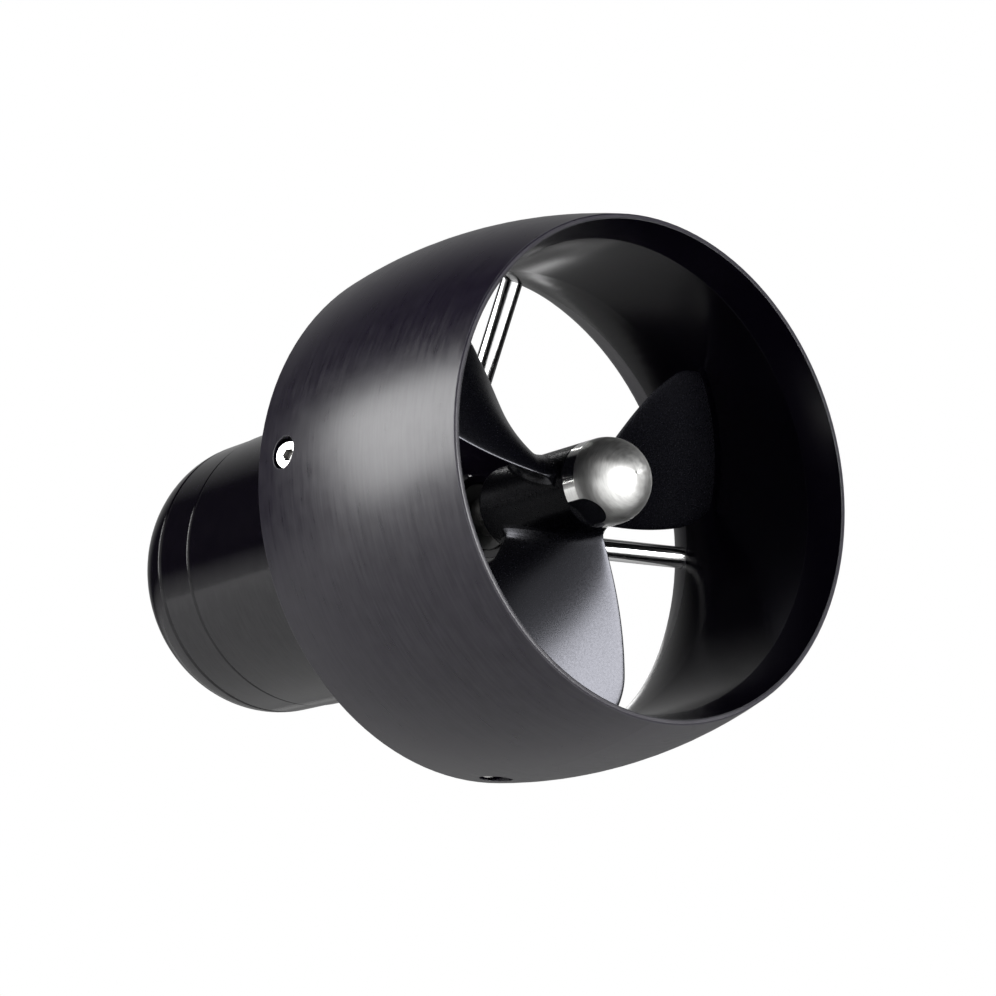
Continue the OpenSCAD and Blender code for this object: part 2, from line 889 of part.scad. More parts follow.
module propeller() {
  color([0.14, 0.14, 0.15])
  difference() {
    union() {
      turn()
        bevelled(hub_d / 2, x_hub_rear, x_hub_front, hub_bevel, rim_bevel);
      for (i = [0 : blade_count - 1])
        rotate([-blade_phase - i * 360 / blade_count, 0, 0])
          blade();
    }
    rod(prop_seat_d / 2 + run_fit / 2, x_hub_rear - over, x_hub_front + over);
    translate([x_hub_rear - over, -pin_d / 2 - run_fit, -pin_len / 2 - slip])
      cube([over + 1.5 * pin_d + run_fit, pin_d + 2 * run_fit, pin_len + 2 * slip]);
  }
}

nozzle();
nozzle_screws();
stay_rods();
front_cover();
front_o_ring();
shaft_seal();
motor_housing();
stator_core();
stator_coils();
rear_cover();
rear_o_ring();
preload_washer();
tail_dome();
tail_o_ring();
tail_screws();
gland_body();
gland_seal();
gland_nut();
front_outer_race();
rear_outer_race();
shaft();
rotor_core();
rotor_magnets();
front_inner_race();
rear_inner_race();
shaft_circlip();
propeller();
drive_pin();
nose_nut();
front_balls();
front_cage();
rear_balls();
rear_cage();
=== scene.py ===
import math

import bmesh
import bpy
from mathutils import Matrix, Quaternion, Vector


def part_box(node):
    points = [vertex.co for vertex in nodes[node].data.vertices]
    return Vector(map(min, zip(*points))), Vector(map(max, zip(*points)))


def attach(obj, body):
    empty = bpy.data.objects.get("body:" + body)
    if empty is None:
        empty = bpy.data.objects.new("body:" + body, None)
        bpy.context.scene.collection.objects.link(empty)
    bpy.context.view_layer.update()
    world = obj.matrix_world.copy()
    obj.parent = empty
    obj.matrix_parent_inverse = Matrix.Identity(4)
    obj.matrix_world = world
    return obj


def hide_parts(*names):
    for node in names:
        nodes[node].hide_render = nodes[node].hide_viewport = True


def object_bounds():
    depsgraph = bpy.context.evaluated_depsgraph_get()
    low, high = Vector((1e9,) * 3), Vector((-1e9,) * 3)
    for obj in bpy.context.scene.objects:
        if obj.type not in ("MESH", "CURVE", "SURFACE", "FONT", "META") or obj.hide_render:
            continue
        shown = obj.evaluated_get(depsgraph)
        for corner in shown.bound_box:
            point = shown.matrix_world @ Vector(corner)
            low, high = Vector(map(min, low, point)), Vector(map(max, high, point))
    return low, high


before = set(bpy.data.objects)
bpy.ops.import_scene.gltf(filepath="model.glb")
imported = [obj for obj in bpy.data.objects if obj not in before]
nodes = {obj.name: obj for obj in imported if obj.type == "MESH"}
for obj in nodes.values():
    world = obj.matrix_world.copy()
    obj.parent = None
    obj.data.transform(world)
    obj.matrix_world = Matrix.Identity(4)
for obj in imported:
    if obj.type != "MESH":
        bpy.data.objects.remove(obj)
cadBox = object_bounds()
mm = 0.001
print("frame loaded:", len(nodes), "CAD nodes")


# sRGB hex to the linear colour that a shader takes
def hexColour(code):
    shares = [int(code[i:i + 2], 16) / 255 for i in (1, 3, 5)]
    linear = [s / 12.92 if s <= 0.04045 else ((s + 0.055) / 1.055) ** 2.4 for s in shares]
    return (*linear, 1.0)


# adds a node, sets its options and input values, and links the given sockets into it;
# a Mix node has its share at input 0, its numbers at 2 and 3, and its colours at 6 and 7
def addNode(tree, kind, options=None, values=None, links=None):
    node = tree.nodes.new(kind)
    for key, value in (options or {}).items():
        setattr(node, key, value)
    for key, value in (values or {}).items():
        node.inputs[key].default_value = value
    for key, socket in (links or {}).items():
        tree.links.new(socket, node.inputs[key])
    return node


def newMaterial(name):
    material = bpy.data.materials.new(name)
    material.use_nodes = True
    material.node_tree.nodes.clear()
    return material


# unit direction from an azimuth, counted from +X towards +Y, and an elevation
def direction(azimuth, elevation):
    a, e = math.radians(azimuth), math.radians(elevation)
    return Vector((math.cos(a) * math.cos(e), math.sin(a) * math.cos(e), math.sin(e)))


# camera, at the photo's viewpoint: low, to the left of the axis, looking up into the outlet
cameraSettings = {
    "location": (0.6253, -0.4363, -0.1937),
    "look": (-0.7617, 0.5902, 0.2675),
    "roll": 2.72,
    "lens": 101.2,
    "sensor": 36.0,
    "clipStart": 0.01,
}
cameraData = bpy.data.cameras.new("photoCamera")
cameraData.lens = cameraSettings["lens"]
cameraData.sensor_width = cameraSettings["sensor"]
cameraData.clip_start = cameraSettings["clipStart"]
camera = bpy.data.objects.new("photoCamera", cameraData)
camera.location = cameraSettings["location"]
camera.rotation_mode = "QUATERNION"
aim = Vector(cameraSettings["look"]).to_track_quat("-Z", "Y")
camera.rotation_quaternion = aim @ Quaternion((0, 0, 1), math.radians(cameraSettings["roll"]))
bpy.context.scene.collection.objects.link(camera)
bpy.context.scene.camera = camera
print("camera placed")


# soft boxes: one to the left of the nozzle, one in front of the outlet and a weak one overhead,
# one for the floor in front that the metal doesn't mirror, and a small card behind the inlet that
# only shows as a streak in the bore
lampSettings = {
    "leftBox": {
        "azimuth": -107.5, "elevation": 15.5, "roll": 17, "distance": 2.0, "target": (0.07, 0, 0),
        "width": 1.85, "height": 1.25, "power": 68.0, "mirrored": True, "spreads": True,
    },
    "frontBox": {
        "azimuth": 8, "elevation": 1, "roll": 0, "distance": 1.2, "target": (0.07, 0, 0),
        "width": 0.95, "height": 0.5, "power": 25.0, "mirrored": True, "spreads": True,
    },
    "topBox": {
        "azimuth": 0, "elevation": 90, "roll": 0, "distance": 1.5, "target": (-0.1, 0, 0),
        "width": 0.8, "height": 0.8, "power": 1.2, "mirrored": True, "spreads": True,
    },
    "floorBox": {
        "azimuth": -12, "elevation": 48, "roll": 0, "distance": 0.9, "target": (0.45, -0.1, -0.26),
        "width": 0.8, "height": 0.8, "power": 5.5, "mirrored": False, "spreads": True,
    },
    "inletCard": {
        "azimuth": 139.5, "elevation": -9, "roll": 0, "distance": 0.25,
        "target": (0.085, -0.011, 0.059),
        "width": 0.035, "height": 0.02, "power": 0.006, "mirrored": True, "spreads": False,
    },
}
for name, lamp in lampSettings.items():
    lampData = bpy.data.lights.new(name, "AREA")
    lampData.shape = "RECTANGLE"
    lampData.size = lamp["width"]
    lampData.size_y = lamp["height"]
    lampData.energy = lamp["power"]
    lampObject = bpy.data.objects.new(name, lampData)
    towards = direction(lamp["azimuth"], lamp["elevation"])
    lampObject.location = towards * lamp["distance"] + Vector(lamp["target"])
    lampObject.rotation_mode = "QUATERNION"
    turned = Quaternion((0, 0, 1), math.radians(lamp["roll"]))
    lampObject.rotation_quaternion = (-towards).to_track_quat("-Z", "Y") @ turned
    lampObject.visible_camera = False
    lampObject.visible_glossy = lamp["mirrored"]
    lampObject.visible_diffuse = lamp["spreads"]
    bpy.context.scene.collection.objects.link(lampObject)

# white for the eye; in reflections a white table below, a pale front and a soft screen behind,
# in a dim room
worldSettings = {
    "white": "#ffffff",
    "whiteStrength": 1.0,
    "ambient": "#e8eaf0",
    "ambientStrength": 0.02,
    "tableFull": -0.27,
    "tableNone": 0.05,
    "tableLevel": 0.8,
    "screenAzimuth": 142,
    "screenElevation": 30,
    "screenFull": 0.985,
    "screenNone": 0.707,
    "screenLevel": 0.33,
    "frontNone": 0.25,
    "frontFull": 0.6,
    "frontTop": 0.61,
    "frontUnder": 0.48,
    "frontLevel": 0.75,
}
world = bpy.data.worlds.new("whiteSweep")
world.use_nodes = True
bpy.context.scene.world = world
tree = world.node_tree
tree.nodes.clear()
ways = addNode(tree, "ShaderNodeTexCoord")
split = addNode(tree, "ShaderNodeSeparateXYZ", links={"Vector": ways.outputs["Generated"]})
table = addNode(
    tree, "ShaderNodeMapRange",
    values={
        "From Min": worldSettings["tableFull"], "From Max": worldSettings["tableNone"],
        "To Min": worldSettings["tableLevel"], "To Max": 0.0,
    },
    links={"Value": split.outputs["Z"]},
)
# the screen fades with the angle from its middle
facing = addNode(
    tree, "ShaderNodeVectorMath", {"operation": "DOT_PRODUCT"},
    values={1: direction(worldSettings["screenAzimuth"], worldSettings["screenElevation"])},
    links={0: ways.outputs["Generated"]},
)
screen = addNode(
    tree, "ShaderNodeMapRange",
    values={
        "From Min": worldSettings["screenNone"], "From Max": worldSettings["screenFull"],
        "To Max": worldSettings["screenLevel"],
    },
    links={"Value": facing.outputs["Value"]},
)
# the pale front lies towards +X, up to its top edge
ahead = addNode(
    tree, "ShaderNodeMapRange",
    values={"From Min": worldSettings["frontNone"], "From Max": worldSettings["frontFull"]},
    links={"Value": split.outputs["X"]},
)
under = addNode(
    tree, "ShaderNodeMapRange",
    values={
        "From Min": worldSettings["frontTop"], "From Max": worldSettings["frontUnder"],
        "To Max": worldSettings["frontLevel"],
    },
    links={"Value": split.outputs["Z"]},
)
front = addNode(
    tree, "ShaderNodeMath", {"operation": "MULTIPLY"},
    links={0: ahead.outputs["Result"], 1: under.outputs["Result"]},
)
walls = addNode(
    tree, "ShaderNodeMath", {"operation": "MAXIMUM"},
    links={0: front.outputs[0], 1: screen.outputs["Result"]},
)
room = addNode(
    tree, "ShaderNodeMath", {"operation": "MAXIMUM"},
    links={0: table.outputs["Result"], 1: walls.outputs[0]},
)
paths = addNode(tree, "ShaderNodeLightPath")
mirrored = addNode(
    tree, "ShaderNodeMath", {"operation": "MULTIPLY"},
    links={0: paths.outputs["Is Glossy Ray"], 1: room.outputs[0]},
)
seen = addNode(
    tree, "ShaderNodeMath", {"operation": "ADD"},
    links={0: paths.outputs["Is Camera Ray"], 1: paths.outputs["Is Transmission Ray"]},
)
shown = addNode(
    tree, "ShaderNodeMath", {"operation": "ADD", "use_clamp": True},
    links={0: seen.outputs[0], 1: mirrored.outputs[0]},
)
ambient = addNode(
    tree, "ShaderNodeBackground",
    values={
        "Color": hexColour(worldSettings["ambient"]), "Strength": worldSettings["ambientStrength"],
    },
)
white = addNode(
    tree, "ShaderNodeBackground",
    values={"Color": hexColour(worldSettings["white"]), "Strength": worldSettings["whiteStrength"]},
)
blend = addNode(
    tree, "ShaderNodeMixShader",
    links={0: shown.outputs[0], 1: ambient.outputs[0], 2: white.outputs[0]},
)
addNode(tree, "ShaderNodeOutputWorld", links={"Surface": blend.outputs[0]})
bpy.context.scene.view_settings.view_transform = "Standard"
print("lamps and white surroundings set")


# plain pale floor, below the camera's view: the thruster is held in the air by its clamp
floorSettings = {
    "below": 0.19, "radius": 1.5, "steps": 96,
    "colour": "#dcdcdc", "roughness": 0.7,
    "grain": 12 * mm, "grainDepth": 0.2 * mm, "grainStrength": 0.02, "grainDetail": 2.0,
}
floorHeight = cadBox[0].z - floorSettings["below"]
floorMesh = bpy.data.meshes.new("floor")
floorEdge = []
for k in range(floorSettings["steps"]):
    t = 2 * math.pi * k / floorSettings["steps"]
    x, y = floorSettings["radius"] * math.cos(t), floorSettings["radius"] * math.sin(t)
    floorEdge.append((x, y, floorHeight))
floorMesh.from_pydata(floorEdge, [], [list(range(floorSettings["steps"]))])
floor = bpy.data.objects.new("floor", floorMesh)
bpy.context.scene.collection.objects.link(floor)
# Matt white paper: an even pale grey-white with a faint soft cockle
paper = newMaterial("Matt white paper")
tree = paper.node_tree
ways = addNode(tree, "ShaderNodeTexCoord")
grain = addNode(
    tree, "ShaderNodeTexNoise",
    values={"Scale": 1 / floorSettings["grain"], "Detail": floorSettings["grainDetail"]},
    links={"Vector": ways.outputs["Object"]},
)
lift = addNode(
    tree, "ShaderNodeBump",
    values={"Strength": floorSettings["grainStrength"], "Distance": floorSettings["grainDepth"]},
    links={"Height": grain.outputs[0]},
)
skin = addNode(
    tree, "ShaderNodeBsdfPrincipled",
    values={"Base Color": hexColour(floorSettings["colour"]), "Roughness": floorSettings["roughness"]},
    links={"Normal": lift.outputs[0]},
)
addNode(tree, "ShaderNodeOutputMaterial", links={"Surface": skin.outputs[0]})
floorMesh.materials.append(paper)
print("floor laid")


# in every look, dark and light are the ends of the colour, and glossy and dull those of the roughness
noiseLow, noiseHigh = 0.3, 0.7  # a noise pattern stays mostly between these

# Black anodised aluminium, turned on a lathe: a dyed oxide skin with a soft broad gloss, crossed by
# fine rings round the axis. The rings are drawn coarser than the tool marks so that they show.
# The motor is turned finer than the nozzle, and mirrors more sharply.
motorLook = {
    "dark": "#030206", "light": "#060409", "glossy": 0.09, "dull": 0.13, "specular": 0.5,
    "ringSpacing": 0.7 * mm, "ringDepth": 0.02 * mm, "ringStrength": 0.05, "streaks": 6.0,
    "mottleSize": 5 * mm, "detail": 2.0, "detailShare": 0.55,
    "lineShare": 1.0, "patchShare": 0.5, "textureLow": 0.5, "textureHigh": 1.0,
    "cloud": 0.05, "cloudLow": 0.55, "cloudHigh": 0.95, "edgeRound": 0.4 * mm, "edgeSamples": 4,
}
nozzleLook = dict(
    motorLook, dark="#090510", light="#0b0614", glossy=0.27, dull=0.34, ringStrength=0.06, cloud=0.055,
    # the edges are lightened towards a pale grey
    edgePaleColour="#c4c5ca", edgePale=0.15, edgePaleFrom=0.99, edgePaleFull=0.85,
    # painted shade: the bore's darker colour and weaker reflection
    boreRadius=63 * mm, boreSpecular=0.1, boreGloss=0.19, boreShadeTone="#030206",
)


def turnedAnodise(name, look):
    material = newMaterial(name)
    tree = material.node_tree
    ways = addNode(tree, "ShaderNodeTexCoord")
    place = ways.outputs["Object"]
    across = addNode(
        tree, "ShaderNodeVectorMath", {"operation": "MULTIPLY"},
        values={1: (0, 1, 1)}, links={0: place},
    )
    radius = addNode(
        tree, "ShaderNodeVectorMath", {"operation": "LENGTH"}, links={0: across.outputs[0]},
    )
    around = addNode(
        tree, "ShaderNodeVectorMath", {"operation": "NORMALIZE"}, links={0: across.outputs[0]},
    )
    split = addNode(tree, "ShaderNodeSeparateXYZ", links={0: place})
    # along the profile a ring pattern, round the axis long streaks
    profile = addNode(
        tree, "ShaderNodeMath", {"operation": "ADD"},
        links={0: split.outputs["X"], 1: radius.outputs["Value"]},
    )
    rings = addNode(
        tree, "ShaderNodeMath", {"operation": "MULTIPLY"},
        values={1: 1 / look["ringSpacing"]}, links={0: profile.outputs[0]},
    )
    ringPlace = addNode(tree, "ShaderNodeCombineXYZ", links={"X": rings.outputs[0]})
    streakPlace = addNode(
        tree, "ShaderNodeVectorMath", {"operation": "MULTIPLY_ADD"},
        values={1: (look["streaks"],) * 3},
        links={0: around.outputs[0], 2: ringPlace.outputs[0]},
    )
    lines = addNode(
        tree, "ShaderNodeTexNoise",
        values={"Scale": 1.0, "Detail": look["detail"], "Roughness": look["detailShare"]},
        links={"Vector": streakPlace.outputs[0]},
    )
    mottle = addNode(
        tree, "ShaderNodeTexNoise",
        values={
            "Scale": 1 / look["mottleSize"], "Detail": look["detail"], "Roughness": look["detailShare"],
        },
        links={"Vector": place},
    )
    tone = addNode(
        tree, "ShaderNodeMix", {"data_type": "RGBA"},
        values={6: hexColour(look["dark"]), 7: hexColour(look["light"])},
        links={0: mottle.outputs[0]},
    )
    patches = addNode(
        tree, "ShaderNodeMath", {"operation": "MULTIPLY"},
        values={1: look["patchShare"]}, links={0: mottle.outputs[0]},
    )
    texture = addNode(
        tree, "ShaderNodeMath", {"operation": "MULTIPLY_ADD"},
        values={1: look["lineShare"]}, links={0: lines.outputs[0], 2: patches.outputs[0]},
    )
    gloss = addNode(
        tree, "ShaderNodeMapRange",
        values={
            "From Min": look["textureLow"], "From Max": look["textureHigh"],
            "To Min": look["glossy"], "To Max": look["dull"],
        },
        links={"Value": texture.outputs[0]},
    )
    edges = addNode(
        tree, "ShaderNodeBevel", {"samples": look["edgeSamples"]}, values={"Radius": look["edgeRound"]},
    )
    relief = addNode(
        tree, "ShaderNodeBump",
        values={"Strength": look["ringStrength"], "Distance": look["ringDepth"]},
        links={"Height": lines.outputs[0], "Normal": edges.outputs[0]},
    )
    # a handled skin is cloudy
    clouds = addNode(
        tree, "ShaderNodeMapRange",
        values={
            "From Min": look["cloudLow"], "From Max": look["cloudHigh"],
            "To Min": look["specular"] - look["cloud"], "To Max": look["specular"] + look["cloud"],
        },
        links={"Value": texture.outputs[0]},
    )
    colour, shine, blur = tone.outputs[2], clouds.outputs[0], gloss.outputs[0]
    # painted shade: the bore gets a darker colour and a weaker reflection than the outside; it is also
    # smoother
    if "boreRadius" in look:
        outside = addNode(
            tree, "ShaderNodeMath", {"operation": "GREATER_THAN"},
            values={1: look["boreRadius"]}, links={0: radius.outputs["Value"]},
        )
        boreShadeColour = addNode(
            tree, "ShaderNodeMix", {"data_type": "RGBA"}, values={6: hexColour(look["boreShadeTone"])},
            links={0: outside.outputs[0], 7: colour},
        )
        boreShine = addNode(
            tree, "ShaderNodeMix", values={2: look["boreSpecular"]},
            links={0: outside.outputs[0], 3: shine},
        )
        boreBlur = addNode(
            tree, "ShaderNodeMix", values={2: look["boreGloss"]},
            links={0: outside.outputs[0], 3: blur},
        )
        colour, shine, blur = boreShadeColour.outputs[2], boreShine.outputs[0], boreBlur.outputs[0]
    # the colour is lightened towards a pale grey along the edges, where the rounded normal leaves the
    # plain one
    if "edgePale" in look:
        plain = addNode(tree, "ShaderNodeNewGeometry")
        bend = addNode(
            tree, "ShaderNodeVectorMath", {"operation": "DOT_PRODUCT"},
            links={0: edges.outputs[0], 1: plain.outputs["Normal"]},
        )
        edgePaleShare = addNode(
            tree, "ShaderNodeMapRange",
            values={
                "From Min": look["edgePaleFrom"], "From Max": look["edgePaleFull"],
                "To Min": 0.0, "To Max": look["edgePale"],
            },
            links={"Value": bend.outputs["Value"]},
        )
        coat = addNode(
            tree, "ShaderNodeMix", {"data_type": "RGBA"}, values={7: hexColour(look["edgePaleColour"])},
            links={0: edgePaleShare.outputs[0], 6: colour},
        )
        colour = coat.outputs[2]
    skin = addNode(
        tree, "ShaderNodeBsdfPrincipled",
        links={
            "Base Color": colour, "Roughness": blur,
            "Normal": relief.outputs[0], "Specular IOR Level": shine,
        },
    )
    addNode(tree, "ShaderNodeOutputMaterial", links={"Surface": skin.outputs[0]})
    return material


# Black anodised aluminium, bead blasted before dyeing: an even fine grain that spreads the light.
# The grain is drawn coarser than the beads' dents so that it shows.
bladeLook = {
    "dark": "#020204", "light": "#040406", "glossy": 0.24, "dull": 0.32, "specular": 0.5,
    "mirrorTint": "#f2f3ff",
    "grit": 0.5 * mm, "gritDepth": 0.05 * mm, "gritStrength": 0.07,
    "gritDetail": 2.0, "gritDetailShare": 0.6, "mottleSize": 8 * mm, "mottleDetail": 3.0,
    "hubRadius": 11.6 * mm, "hubSpecular": 0.06,
}


def blastedAnodise(name, look):
    material = newMaterial(name)
    tree = material.node_tree
    ways = addNode(tree, "ShaderNodeTexCoord")
    place = ways.outputs["Object"]
    grain = addNode(
        tree, "ShaderNodeTexNoise",
        values={
            "Scale": 1 / look["grit"], "Detail": look["gritDetail"],
            "Roughness": look["gritDetailShare"],
        },
        links={"Vector": place},
    )
    mottle = addNode(
        tree, "ShaderNodeTexNoise",
        values={"Scale": 1 / look["mottleSize"], "Detail": look["mottleDetail"]},
        links={"Vector": place},
    )
    tone = addNode(
        tree, "ShaderNodeMix", {"data_type": "RGBA"},
        values={6: hexColour(look["dark"]), 7: hexColour(look["light"])},
        links={0: mottle.outputs[0]},
    )
    gloss = addNode(
        tree, "ShaderNodeMapRange",
        values={
            "From Min": noiseLow, "From Max": noiseHigh,
            "To Min": look["glossy"], "To Max": look["dull"],
        },
        links={"Value": grain.outputs[0]},
    )
    relief = addNode(
        tree, "ShaderNodeBump",
        values={"Strength": look["gritStrength"], "Distance": look["gritDepth"]},
        links={"Height": grain.outputs[0]},
    )
    # the hub is left duller than the blades
    across = addNode(
        tree, "ShaderNodeVectorMath", {"operation": "MULTIPLY"},
        values={1: (0, 1, 1)}, links={0: place},
    )
    radius = addNode(
        tree, "ShaderNodeVectorMath", {"operation": "LENGTH"}, links={0: across.outputs[0]},
    )
    outside = addNode(
        tree, "ShaderNodeMath", {"operation": "GREATER_THAN"},
        values={1: look["hubRadius"]}, links={0: radius.outputs["Value"]},
    )
    shine = addNode(
        tree, "ShaderNodeMix", values={2: look["hubSpecular"], 3: look["specular"]},
        links={0: outside.outputs[0]},
    )
    skin = addNode(
        tree, "ShaderNodeBsdfPrincipled",
        values={"Specular Tint": hexColour(look["mirrorTint"])},
        links={
            "Base Color": tone.outputs[2], "Roughness": gloss.outputs[0],
            "Normal": relief.outputs[0], "Specular IOR Level": shine.outputs[0],
        },
    )
    addNode(tree, "ShaderNodeOutputMaterial", links={"Surface": skin.outputs[0]})
    return material


# Stainless steel, in three finishes, with lines drawn coarser than the real ones so that they show.
# Polished bar: nearly a mirror, with long pale lines of light
rodLook = {
    "dark": "#c9c9c9", "light": "#d8d8d8", "glossy": 0.12, "dull": 0.18,
    "ringSpacing": 0.35 * mm, "ringDepth": 0.01 * mm, "ringStrength": 0.0, "streaks": 3.0,
    "detail": 3.0, "detailShare": 0.6,
}
# Cold headed and turned small parts: a duller bright grey, with painted shade darkening the sockets and
# corners
screwLook = dict(
    rodLook, dark="#b4b3b1", light="#d2d1cf", glossy=0.14, dull=0.24, ringStrength=0.1,
    socketShade="#16140f", socketShadeReach=2.5 * mm, socketShadeSamples=8,
)
# Turned and brushed nose: the brush marks round the axis blur the light into a broad soft patch, and
# the wrench flats and the band behind the bullet are smoother
flatTurn = math.radians(149)  # the flats' turn about the axis
bandLength = 4.6 * mm
noseLook = dict(
    rodLook, dark="#b8b8b6", light="#eeeeec", glossy=0.29, dull=0.37, ringStrength=0.02,
    pull=0.6, grainTurn=0.25, smooth=0.12,
    flatWay=(0, -math.sin(flatTurn), math.cos(flatTurn)), flatLimit=0.998,
    bandEnd=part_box("nose_nut")[0].x + bandLength,
)


def turnedSteel(name, look):
    material = newMaterial(name)
    tree = material.node_tree
    ways = addNode(tree, "ShaderNodeTexCoord")
    place = ways.outputs["Object"]
    across = addNode(
        tree, "ShaderNodeVectorMath", {"operation": "MULTIPLY"},
        values={1: (0, 1, 1)}, links={0: place},
    )
    around = addNode(
        tree, "ShaderNodeVectorMath", {"operation": "NORMALIZE"}, links={0: across.outputs[0]},
    )
    split = addNode(tree, "ShaderNodeSeparateXYZ", links={0: place})
    rings = addNode(
        tree, "ShaderNodeMath", {"operation": "MULTIPLY"},
        values={1: 1 / look["ringSpacing"]}, links={0: split.outputs["X"]},
    )
    ringPlace = addNode(tree, "ShaderNodeCombineXYZ", links={"X": rings.outputs[0]})
    streakPlace = addNode(
        tree, "ShaderNodeVectorMath", {"operation": "MULTIPLY_ADD"},
        values={1: (look["streaks"],) * 3},
        links={0: around.outputs[0], 2: ringPlace.outputs[0]},
    )
    lines = addNode(
        tree, "ShaderNodeTexNoise",
        values={"Scale": 1.0, "Detail": look["detail"], "Roughness": look["detailShare"]},
        links={"Vector": streakPlace.outputs[0]},
    )
    tone = addNode(
        tree, "ShaderNodeMix", {"data_type": "RGBA"},
        values={6: hexColour(look["dark"]), 7: hexColour(look["light"])},
        links={0: lines.outputs[0]},
    )
    gloss = addNode(
        tree, "ShaderNodeMapRange",
        values={
            "From Min": noiseLow, "From Max": noiseHigh,
            "To Min": look["glossy"], "To Max": look["dull"],
        },
        links={"Value": lines.outputs[0]},
    )
    relief = addNode(
        tree, "ShaderNodeBump",
        values={"Strength": look["ringStrength"], "Distance": look["ringDepth"]},
        links={"Height": lines.outputs[0]},
    )
    sockets = {
        "Base Color": tone.outputs[2], "Roughness": gloss.outputs[0], "Normal": relief.outputs[0],
    }
    settings = {"Metallic": 1.0}
    # painted shade: ambient occlusion darkens the colour in the sockets and corners
    if "socketShade" in look:
        openness = addNode(
            tree, "ShaderNodeAmbientOcclusion", {"samples": look["socketShadeSamples"], "only_local": True},
            values={"Distance": look["socketShadeReach"]},
        )
        shadedSockets = addNode(
            tree, "ShaderNodeMix", {"data_type": "RGBA"}, values={6: hexColour(look["socketShade"])},
            links={0: openness.outputs["AO"], 7: tone.outputs[2]},
        )
        sockets["Base Color"] = shadedSockets.outputs[2]
    if "pull" in look:
        plain = addNode(tree, "ShaderNodeNewGeometry")
        facing = addNode(
            tree, "ShaderNodeVectorMath", {"operation": "DOT_PRODUCT"},
            values={1: look["flatWay"]}, links={0: plain.outputs["True Normal"]},
        )
        eitherSide = addNode(
            tree, "ShaderNodeMath", {"operation": "ABSOLUTE"}, links={0: facing.outputs["Value"]},
        )
        flat = addNode(
            tree, "ShaderNodeMath", {"operation": "GREATER_THAN"},
            values={1: look["flatLimit"]}, links={0: eitherSide.outputs[0]},
        )
        band = addNode(
            tree, "ShaderNodeMath", {"operation": "LESS_THAN"},
            values={1: look["bandEnd"]}, links={0: split.outputs["X"]},
        )
        smooth = addNode(
            tree, "ShaderNodeMath", {"operation": "MAXIMUM"},
            links={0: flat.outputs[0], 1: band.outputs[0]},
        )
        blur = addNode(
            tree, "ShaderNodeMix", values={3: look["smooth"]},
            links={0: smooth.outputs[0], 2: gloss.outputs[0]},
        )
        pull = addNode(
            tree, "ShaderNodeMix", values={2: look["pull"], 3: 0.0}, links={0: smooth.outputs[0]},
        )
        grainWay = addNode(tree, "ShaderNodeTangent", {"direction_type": "RADIAL", "axis": "X"})
        sockets["Roughness"] = blur.outputs[0]
        sockets["Anisotropic"] = pull.outputs[0]
        sockets["Tangent"] = grainWay.outputs[0]
        settings["Anisotropic Rotation"] = look["grainTurn"]
    skin = addNode(tree, "ShaderNodeBsdfPrincipled", values=settings, links=sockets)
    addNode(tree, "ShaderNodeOutputMaterial", links={"Surface": skin.outputs[0]})
    return material


# Moulded nitrile rubber: a dull near-black with a soft skin
rubberLook = {
    "dark": "#101010", "light": "#1b1b1b", "glossy": 0.5, "dull": 0.7, "metal": 0.0,
    "grain": 1.5 * mm, "detail": 3.0, "depth": 0.03 * mm, "strength": 0.2,
}
# Stamped silicon steel: a stack of grey sheet edges, slightly oily
sheetLook = {
    "dark": "#55585c", "light": "#73767a", "glossy": 0.35, "dull": 0.5, "metal": 1.0,
    "grain": 1 * mm, "detail": 3.0, "depth": 0.02 * mm, "strength": 0.2,
}
# Enamelled copper wire: warm brown copper under a clear varnish
wireLook = {
    "dark": "#8a4520", "light": "#b8692f", "glossy": 0.25, "dull": 0.4, "metal": 1.0,
    "grain": 0.8 * mm, "detail": 3.0, "depth": 0.1 * mm, "strength": 0.2,
}
# Nickel plate: a warm bright grey. Ground bearing steel: nearly a mirror. Pressed brass: satin yellow
magnetLook = dict(sheetLook, dark="#9c9b97", light="#b8b7b3", glossy=0.18, dull=0.28)
bearingLook = dict(sheetLook, dark="#9a9c9f", light="#b9bbbe", glossy=0.12, dull=0.2)
brassLook = dict(sheetLook, dark="#a1833f", light="#c2a357", glossy=0.25, dull=0.38)


# plain stock inside the motor: one colour that a fine grain varies
def plainStock(name, look):
    material = newMaterial(name)
    tree = material.node_tree
    ways = addNode(tree, "ShaderNodeTexCoord")
    grain = addNode(
        tree, "ShaderNodeTexNoise",
        values={"Scale": 1 / look["grain"], "Detail": look["detail"]},
        links={"Vector": ways.outputs["Object"]},
    )
    tone = addNode(
        tree, "ShaderNodeMix", {"data_type": "RGBA"},
        values={6: hexColour(look["dark"]), 7: hexColour(look["light"])},
        links={0: grain.outputs[0]},
    )
    gloss = addNode(
        tree, "ShaderNodeMapRange",
        values={
            "From Min": noiseLow, "From Max": noiseHigh,
            "To Min": look["glossy"], "To Max": look["dull"],
        },
        links={"Value": grain.outputs[0]},
    )
    relief = addNode(
        tree, "ShaderNodeBump",
        values={"Strength": look["strength"], "Distance": look["depth"]},
        links={"Height": grain.outputs[0]},
    )
    skin = addNode(
        tree, "ShaderNodeBsdfPrincipled", values={"Metallic": look["metal"]},
        links={
            "Base Color": tone.outputs[2], "Roughness": gloss.outputs[0], "Normal": relief.outputs[0],
        },
    )
    addNode(tree, "ShaderNodeOutputMaterial", links={"Surface": skin.outputs[0]})
    return material


